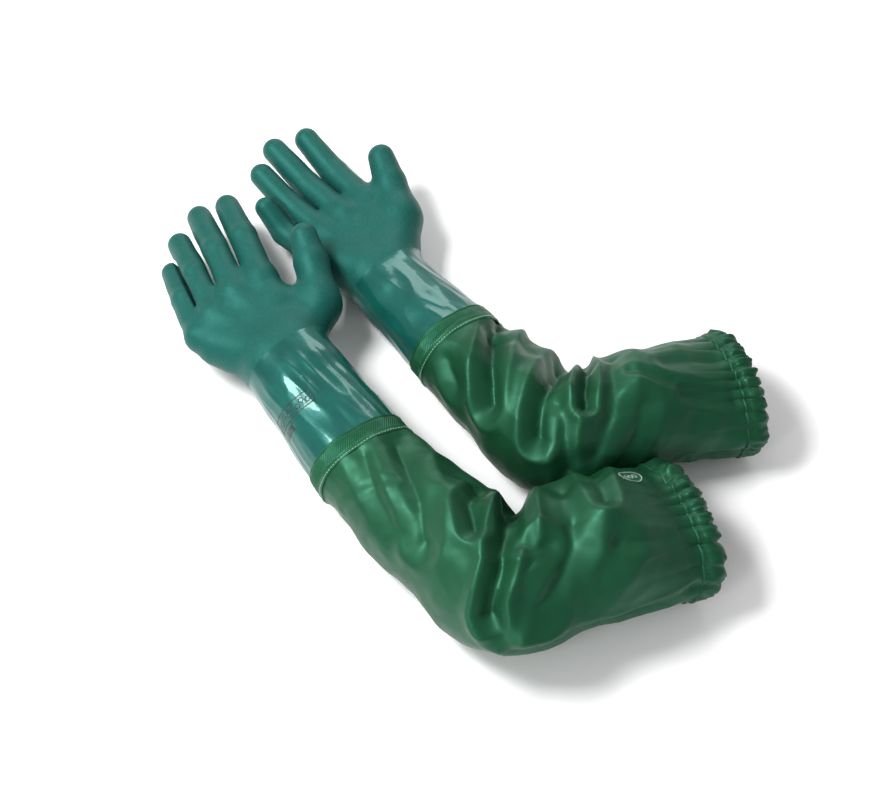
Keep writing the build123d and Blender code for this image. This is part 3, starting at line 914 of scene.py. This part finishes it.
def mark(name, outlines, origin, right, up, tree, lift, material):
    """Flat shapes laid on a surface: each is (outer loop, inner loop or None), cut finely
    and dropped along the surface's inward way."""
    toward = unit(np.cross(right, up))
    points, faces = [], []

    def lay(x, y, height):
        p = origin + right * x + up * y + toward * 30 * MM
        hit, normal = tree.ray_cast(Vector(p), Vector(-toward), 0.08)[:2]
        return np.array(hit) + np.array(normal) * height if hit else None

    for outer, inner in outlines:
        outer = np.array(outer) * MM
        if inner is None:
            inner = outer.mean(0) + (outer - outer.mean(0)) * 0.02
        else:
            inner = np.array(inner) * MM
        edges = np.linalg.norm(np.roll(outer, -1, 0) - outer, axis=1)
        width = np.linalg.norm(outer[0] - inner[0])
        loops = []
        for share in np.linspace(0, 1, 2 + int(width / (1.2 * MM))):
            ring = outer + (inner - outer) * share
            loops.append([ring[k] + (ring[(k + 1) % len(ring)] - ring[k]) * t
                          for k in range(len(ring))
                          for t in np.linspace(0, 1, 1 + int(edges[k] / (0.9 * MM)),
                                               endpoint=False)])
        first = len(points)
        count = len(loops[0])
        laid = [[lay(x, y, lift) for x, y in loop] for loop in loops]
        if any(p is None for loop in laid for p in loop):
            continue
        low = [[lay(x, y, -0.3 * MM) for x, y in loop] for loop in (loops[0], loops[-1])]
        for loop in [low[0]] + laid + [low[1]]:
            points += loop
        for r in range(len(laid) + 1):
            for k in range(count):
                m = (k + 1) % count
                a = first + r * count
                faces.append((a + k, a + m, a + count + m, a + count + k))
    return new_piece(name, points, faces, material)


# Where each mark's middle lies, in millimetres, and how it is tilted and turned there.
PANEL_PLACE = (-165, 37, 68)
PANEL_TILT = math.radians(26)
PANEL_TURN = math.radians(-4)
BADGE_PLACE = (3, -212, 92)
BADGE_TILT = math.radians(30)
BADGE_TURN = math.radians(29)


def build_marks(side, hand, cuff, sleeve, looks):
    """A plain honeycomb panel with a small square under it, and a plain oval badge."""
    origin = np.array(PANEL_PLACE) * MM
    tree = piece_tree(cuff)
    slope = np.cross(hand.cuff_way, UP) * math.cos(PANEL_TILT) + UP * math.sin(PANEL_TILT)
    right = slope * math.cos(PANEL_TURN) + hand.cuff_way * math.sin(PANEL_TURN)
    up = np.cross(np.cross(slope, hand.cuff_way), right)
    wide, tall = 43, 14
    corner = ((wide / 2, tall / 2), (-wide / 2, tall / 2), (-wide / 2, -tall / 2),
              (wide / 2, -tall / 2))
    outlines = [(corner, offset_loop(corner, 1.0))]
    for k in range(7):
        cell = hexagon((k - 3) * 5.5, 1.5 if k % 2 else -1.5, 3.0)
        outlines.append((cell, offset_loop(cell, 0.9)))
    square = [(x - 13, y - 13) for x, y in ((6.5, 3), (-6.5, 3), (-6.5, -3), (6.5, -3))]
    outlines.append((square, None))
    panel = mark(f"{side}_cuff_panel", outlines, origin, right, up, tree, 0.2 * MM,
                 looks["ink"])
    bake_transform(panel)
    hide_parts(f"{side}_cuff_print")

    origin = np.array(BADGE_PLACE) * MM
    tree = piece_tree(sleeve)
    along = unit((np.array(SLEEVE_PATHS[side][0]) - SLEEVE_PATHS[side][1]) * (1, 1, 0))
    slope = np.cross(UP, along) * math.cos(BADGE_TILT) - UP * math.sin(BADGE_TILT)
    right = along * math.cos(BADGE_TURN) + slope * math.sin(BADGE_TURN)
    up = slope * math.cos(BADGE_TURN) - along * math.sin(BADGE_TURN)
    plate = oval(25, 14)
    ground = mark(f"{side}_badge_ground", [(plate, None)], origin, right, up, tree,
                  0.35 * MM, looks["badge_ground"])
    rim = [(plate, offset_loop(plate, 1.0))]
    cells = [(hexagon(x, 0, 2.5), offset_loop(hexagon(x, 0, 2.5), 0.7)) for x in (-5, 0, 5)]
    lines = mark(f"{side}_badge_lines", rim + cells, origin, right, up, tree, 0.55 * MM,
                 looks["badge"])
    for piece in (ground, lines):
        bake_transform(piece)
    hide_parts(f"{side}_sleeve_badge")


# ---- looks ----
class Look:
    """A material, and the few nodes that give it grain, creases and small colour changes."""

    def __init__(self, name, colour, roughness, **sockets):
        self.material = bpy.data.materials.new(name)
        self.material.use_nodes = True
        self.material.diffuse_color = (*colour, 1)
        self.nodes = self.material.node_tree.nodes
        self.links = self.material.node_tree.links
        self.shader = self.nodes["Principled BSDF"]
        self.shader.inputs["Base Color"].default_value = (*colour, 1)
        self.shader.inputs["Roughness"].default_value = roughness
        for socket, value in sockets.items():
            self.shader.inputs[socket.replace("_", " ")].default_value = value
        self.place = self.nodes.new("ShaderNodeTexCoord").outputs["Object"]
        self.height = None

    def noise(self, size, detail=2.0, rough=0.5, stretch=None):
        """A noise whose features are about the given size, in metres."""
        place = self.place
        if stretch:
            mapping = self.nodes.new("ShaderNodeMapping")
            mapping.inputs["Scale"].default_value = stretch
            self.links.new(place, mapping.inputs["Vector"])
            place = mapping.outputs["Vector"]
        node = self.nodes.new("ShaderNodeTexNoise")
        node.inputs["Scale"].default_value = 0.5 / size
        node.inputs["Detail"].default_value = detail
        node.inputs["Roughness"].default_value = rough
        self.links.new(place, node.inputs["Vector"])
        return node.outputs["Fac"]

    def grains(self, size):
        node = self.nodes.new("ShaderNodeTexVoronoi")
        node.inputs["Scale"].default_value = 1 / size
        self.links.new(self.place, node.inputs["Vector"])
        return node.outputs["Distance"]

    def knit(self, size, direction):
        node = self.nodes.new("ShaderNodeTexWave")
        node.bands_direction = direction
        node.inputs["Scale"].default_value = 0.314 / size
        node.inputs["Distortion"].default_value = 0.6
        node.inputs["Detail"].default_value = 1.0
        self.links.new(self.place, node.inputs["Vector"])
        return node.outputs["Fac"]

    def bump(self, texture, depth, strength=1.0):
        node = self.nodes.new("ShaderNodeBump")
        node.inputs["Strength"].default_value = strength
        node.inputs["Distance"].default_value = depth
        self.links.new(texture, node.inputs["Height"])
        if self.height is not None:
            self.links.new(self.height, node.inputs["Normal"])
        self.height = node.outputs["Normal"]
        self.links.new(self.height, self.shader.inputs["Normal"])
        if self.shader.inputs["Coat Weight"].default_value > 0:
            self.links.new(self.height, self.shader.inputs["Coat Normal"])

    def ramp(self, texture, stops, socket):
        """A colour or a level from a texture, sent to one of the shader's sockets."""
        node = self.nodes.new("ShaderNodeValToRGB")
        ramp = node.color_ramp
        while len(ramp.elements) < len(stops):
            ramp.elements.new(0.5)
        for element, (at, colour) in zip(ramp.elements, stops):
            element.position = at
            level = colour if hasattr(colour, "__len__") else (colour,) * 3
            element.color = (*level, 1)
        self.links.new(texture, node.inputs["Fac"])
        self.links.new(node.outputs["Color"], self.shader.inputs[socket])

    def mottle(self, texture, dark, light, light_at=0.75):
        """A base colour that runs from dark to light over a texture."""
        self.ramp(texture, ((0.3, dark), (light_at, light)), "Base Color")


def make_looks():
    """Each material by its short name."""
    grip = Look("sandy_grip", (0.004, 0.07, 0.056), 0.5, Specular_IOR_Level=0.45)
    grip.shader.inputs["Specular Tint"].default_value = (0.25, 0.9, 0.8, 1)
    grip.mottle(grip.noise(0.9 * MM, 3, 0.75), (0.0024, 0.042, 0.034), (0.0075, 0.080, 0.066), 0.72)
    grip.bump(grip.noise(9 * MM, 2), 0.25 * MM, 0.5)
    grip.bump(grip.noise(0.5 * MM, 4, 0.8), 0.22 * MM, 0.8)

    gloss = Look("gloss_cuff", (0.003, 0.07, 0.055), 0.3, Coat_Weight=0.3,
                 Coat_Roughness=0.06, Specular_IOR_Level=0.5)
    gloss.shader.inputs["Specular Tint"].default_value = (0.3, 0.9, 0.85, 1)
    gloss.mottle(gloss.noise(14 * MM, 3), (0.002, 0.048, 0.039), (0.004, 0.075, 0.060))
    gloss.bump(gloss.noise(10 * MM, 3, 0.55, (1.0, 0.45, 1.0)), 1.1 * MM, 0.55)
    gloss.bump(gloss.noise(3 * MM, 2), 0.12 * MM, 0.4)

    cloth = Look("sleeve_cloth", (0.004, 0.055, 0.024), 0.45, Specular_IOR_Level=0.6)
    cloth.shader.inputs["Specular Tint"].default_value = (0.25, 0.85, 0.55, 1)
    cloth.mottle(cloth.noise(30 * MM, 3), (0.0035, 0.033, 0.0125), (0.006, 0.046, 0.018))
    cloth.ramp(cloth.noise(6 * MM, 4), ((0.3, 0.42), (0.75, 0.54)), "Roughness")
    cloth.bump(cloth.noise(12 * MM, 3), 0.6 * MM, 0.5)
    cloth.bump(cloth.noise(0.6 * MM, 3, 0.7), 0.05 * MM, 0.5)

    backing = Look("sleeve_backing", (0.16, 0.27, 0.19), 0.9)
    backing.mottle(backing.noise(2 * MM, 3), (0.12, 0.22, 0.15), (0.22, 0.34, 0.25), 0.7)
    backing.bump(backing.knit(0.9 * MM, "Z"), 0.15 * MM, 0.6)
    backing.bump(backing.knit(0.9 * MM, "DIAGONAL"), 0.15 * MM, 0.6)

    band = Look("weld_band", (0.006, 0.065, 0.026), 0.42)
    band.shader.inputs["Specular Tint"].default_value = (0.25, 0.85, 0.6, 1)
    band.mottle(band.noise(5 * MM, 3), (0.004, 0.042, 0.016), (0.008, 0.066, 0.027))
    band.bump(band.noise(0.8 * MM, 3), 0.06 * MM, 0.5)

    tape = Look("seam_tape", (0.03, 0.15, 0.07), 0.45)
    tape.mottle(tape.noise(4 * MM, 2), (0.025, 0.13, 0.06), (0.04, 0.18, 0.09), 0.7)
    tape.bump(tape.grains(1.4 * MM), 0.08 * MM, 0.6)

    knit = Look("cotton", (0.72, 0.70, 0.62), 0.95)
    knit.mottle(knit.noise(1.5 * MM, 3), (0.6, 0.58, 0.5), (0.8, 0.78, 0.7), 0.7)
    knit.bump(knit.knit(1.1 * MM, "X"), 0.3 * MM, 0.8)
    knit.bump(knit.knit(1.6 * MM, "Y"), 0.2 * MM, 0.6)

    elastic = Look("elastic", (0.78, 0.78, 0.74), 0.85)
    elastic.mottle(elastic.noise(0.8 * MM, 2), (0.62, 0.62, 0.58), (0.85, 0.85, 0.82), 0.7)
    elastic.bump(elastic.knit(1.2 * MM, "Z"), 0.3 * MM, 0.8)

    thread = Look("pale_thread", (0.22, 0.42, 0.28), 0.7)
    thread.mottle(thread.noise(0.5 * MM, 2), (0.16, 0.34, 0.2), (0.3, 0.5, 0.35), 0.7)
    thread.bump(thread.noise(0.35 * MM, 2), 0.1 * MM, 0.6)
    dark = Look("dark_thread", (0.008, 0.05, 0.02), 0.75)
    dark.mottle(dark.noise(0.5 * MM, 2), (0.005, 0.035, 0.014), (0.014, 0.07, 0.03), 0.7)
    dark.bump(dark.noise(0.35 * MM, 2), 0.1 * MM, 0.6)

    ink = Look("print_ink", (0.004, 0.022, 0.018), 0.3)
    ink.mottle(ink.noise(1.2 * MM, 3), (0.003, 0.016, 0.013), (0.008, 0.04, 0.032))
    ground = Look("badge_ground", (0.012, 0.07, 0.035), 0.35)
    ground.mottle(ground.noise(2 * MM, 2), (0.01, 0.06, 0.03), (0.016, 0.085, 0.045), 0.7)
    badge = Look("badge", (0.3, 0.42, 0.34), 0.35)
    badge.mottle(badge.noise(1.5 * MM, 2), (0.2, 0.32, 0.25), (0.32, 0.44, 0.36), 0.7)
    return {"grip": grip.material, "gloss": gloss.material, "cloth": cloth.material,
            "backing": backing.material, "band": band.material, "tape": tape.material,
            "knit": knit.material, "elastic": elastic.material, "thread": thread.material,
            "dark_thread": dark.material, "ink": ink.material,
            "badge_ground": ground.material, "badge": badge.material}


# ---- floor, light and camera ----
FLOOR_HALF = 6.0
CAMERA_AZIMUTH = math.radians(-40)
CAMERA_ELEVATION = math.radians(55)
CAMERA_DISTANCE = 1.8
CAMERA_LENS = 82.85              # millimetres, on a sensor 36 wide
CAMERA_TARGET = Vector((-0.0225, -0.032, 0.045))
CAMERA_PAN = (-0.03015, -0.00855)    # how far the aim lies right of and above the target


def add_light(name, place, aim, size, power, colour=(1, 1, 1)):
    lamp = bpy.data.lights.new(name, "AREA")
    lamp.shape = "RECTANGLE"
    lamp.size, lamp.size_y = size
    lamp.energy = power
    lamp.color = colour
    light = bpy.data.objects.new(name, lamp)
    light.location = place
    light.rotation_mode = "QUATERNION"
    light.rotation_quaternion = (Vector(aim) - Vector(place)).to_track_quat("-Z", "Y")
    bpy.context.scene.collection.objects.link(light)


def set_stage():
    bpy.context.scene.view_settings.view_transform = "Standard"
    world = bpy.data.worlds.new("studio")
    bpy.context.scene.world = world
    world.use_nodes = True
    background = world.node_tree.nodes["Background"]
    background.inputs["Color"].default_value = (1, 1, 1, 1)
    background.inputs["Strength"].default_value = 0.5
    floor_look = bpy.data.materials.new("floor")
    floor_look.use_nodes = True
    paint = floor_look.node_tree.nodes["Principled BSDF"]
    paint.inputs["Base Color"].default_value = (0.93, 0.93, 0.93, 1)
    paint.inputs["Roughness"].default_value = 0.9
    paint.inputs["Specular IOR Level"].default_value = 0.1
    half = FLOOR_HALF
    low = cad_box[0][2] - FLOOR_GAP
    floor = new_piece("floor", [(-half, -half, low), (half, -half, low), (half, half, low),
                                (-half, half, low)], [(0, 1, 2, 3)], floor_look)
    middle = (0, 0, 0.04)
    add_light("key", (-0.8, 0.7, 1.6), middle, (0.8, 0.6), 46)
    add_light("strip", (-1.1, -0.5, 0.55), middle, (0.25, 1.2), 6)
    add_light("rim", (0.9, 1.1, 0.9), middle, (0.9, 0.5), 8)

    azimuth, elevation = CAMERA_AZIMUTH, CAMERA_ELEVATION
    back = Vector((math.sin(azimuth) * math.cos(elevation),
                   -math.cos(azimuth) * math.cos(elevation), math.sin(elevation)))
    right = Vector(UP).cross(back).normalized()
    up = back.cross(right)
    aim = CAMERA_TARGET + right * CAMERA_PAN[0] + up * CAMERA_PAN[1]
    lens = bpy.data.cameras.new("camera")
    lens.lens, lens.sensor_width = CAMERA_LENS, 36
    camera = bpy.data.objects.new("camera", lens)
    camera.location = aim + back * CAMERA_DISTANCE
    camera.rotation_mode = "QUATERNION"
    camera.rotation_quaternion = (-back).to_track_quat("-Z", "Y")
    bpy.context.scene.collection.objects.link(camera)
    bpy.context.scene.camera = camera


looks = make_looks()
for side in SIDES:
    hand = Hand(side)
    cuff = build_hand_and_cuff(side, hand, looks)
    made = build_sleeve(side, hand, cuff, looks)
    build_hem(side, made, looks)
    build_band(side, hand, made[0], cuff, looks)
    if f"{side}_cuff_print" in frame["nodes"]:
        build_marks(side, hand, cuff, made[0], looks)
set_stage()
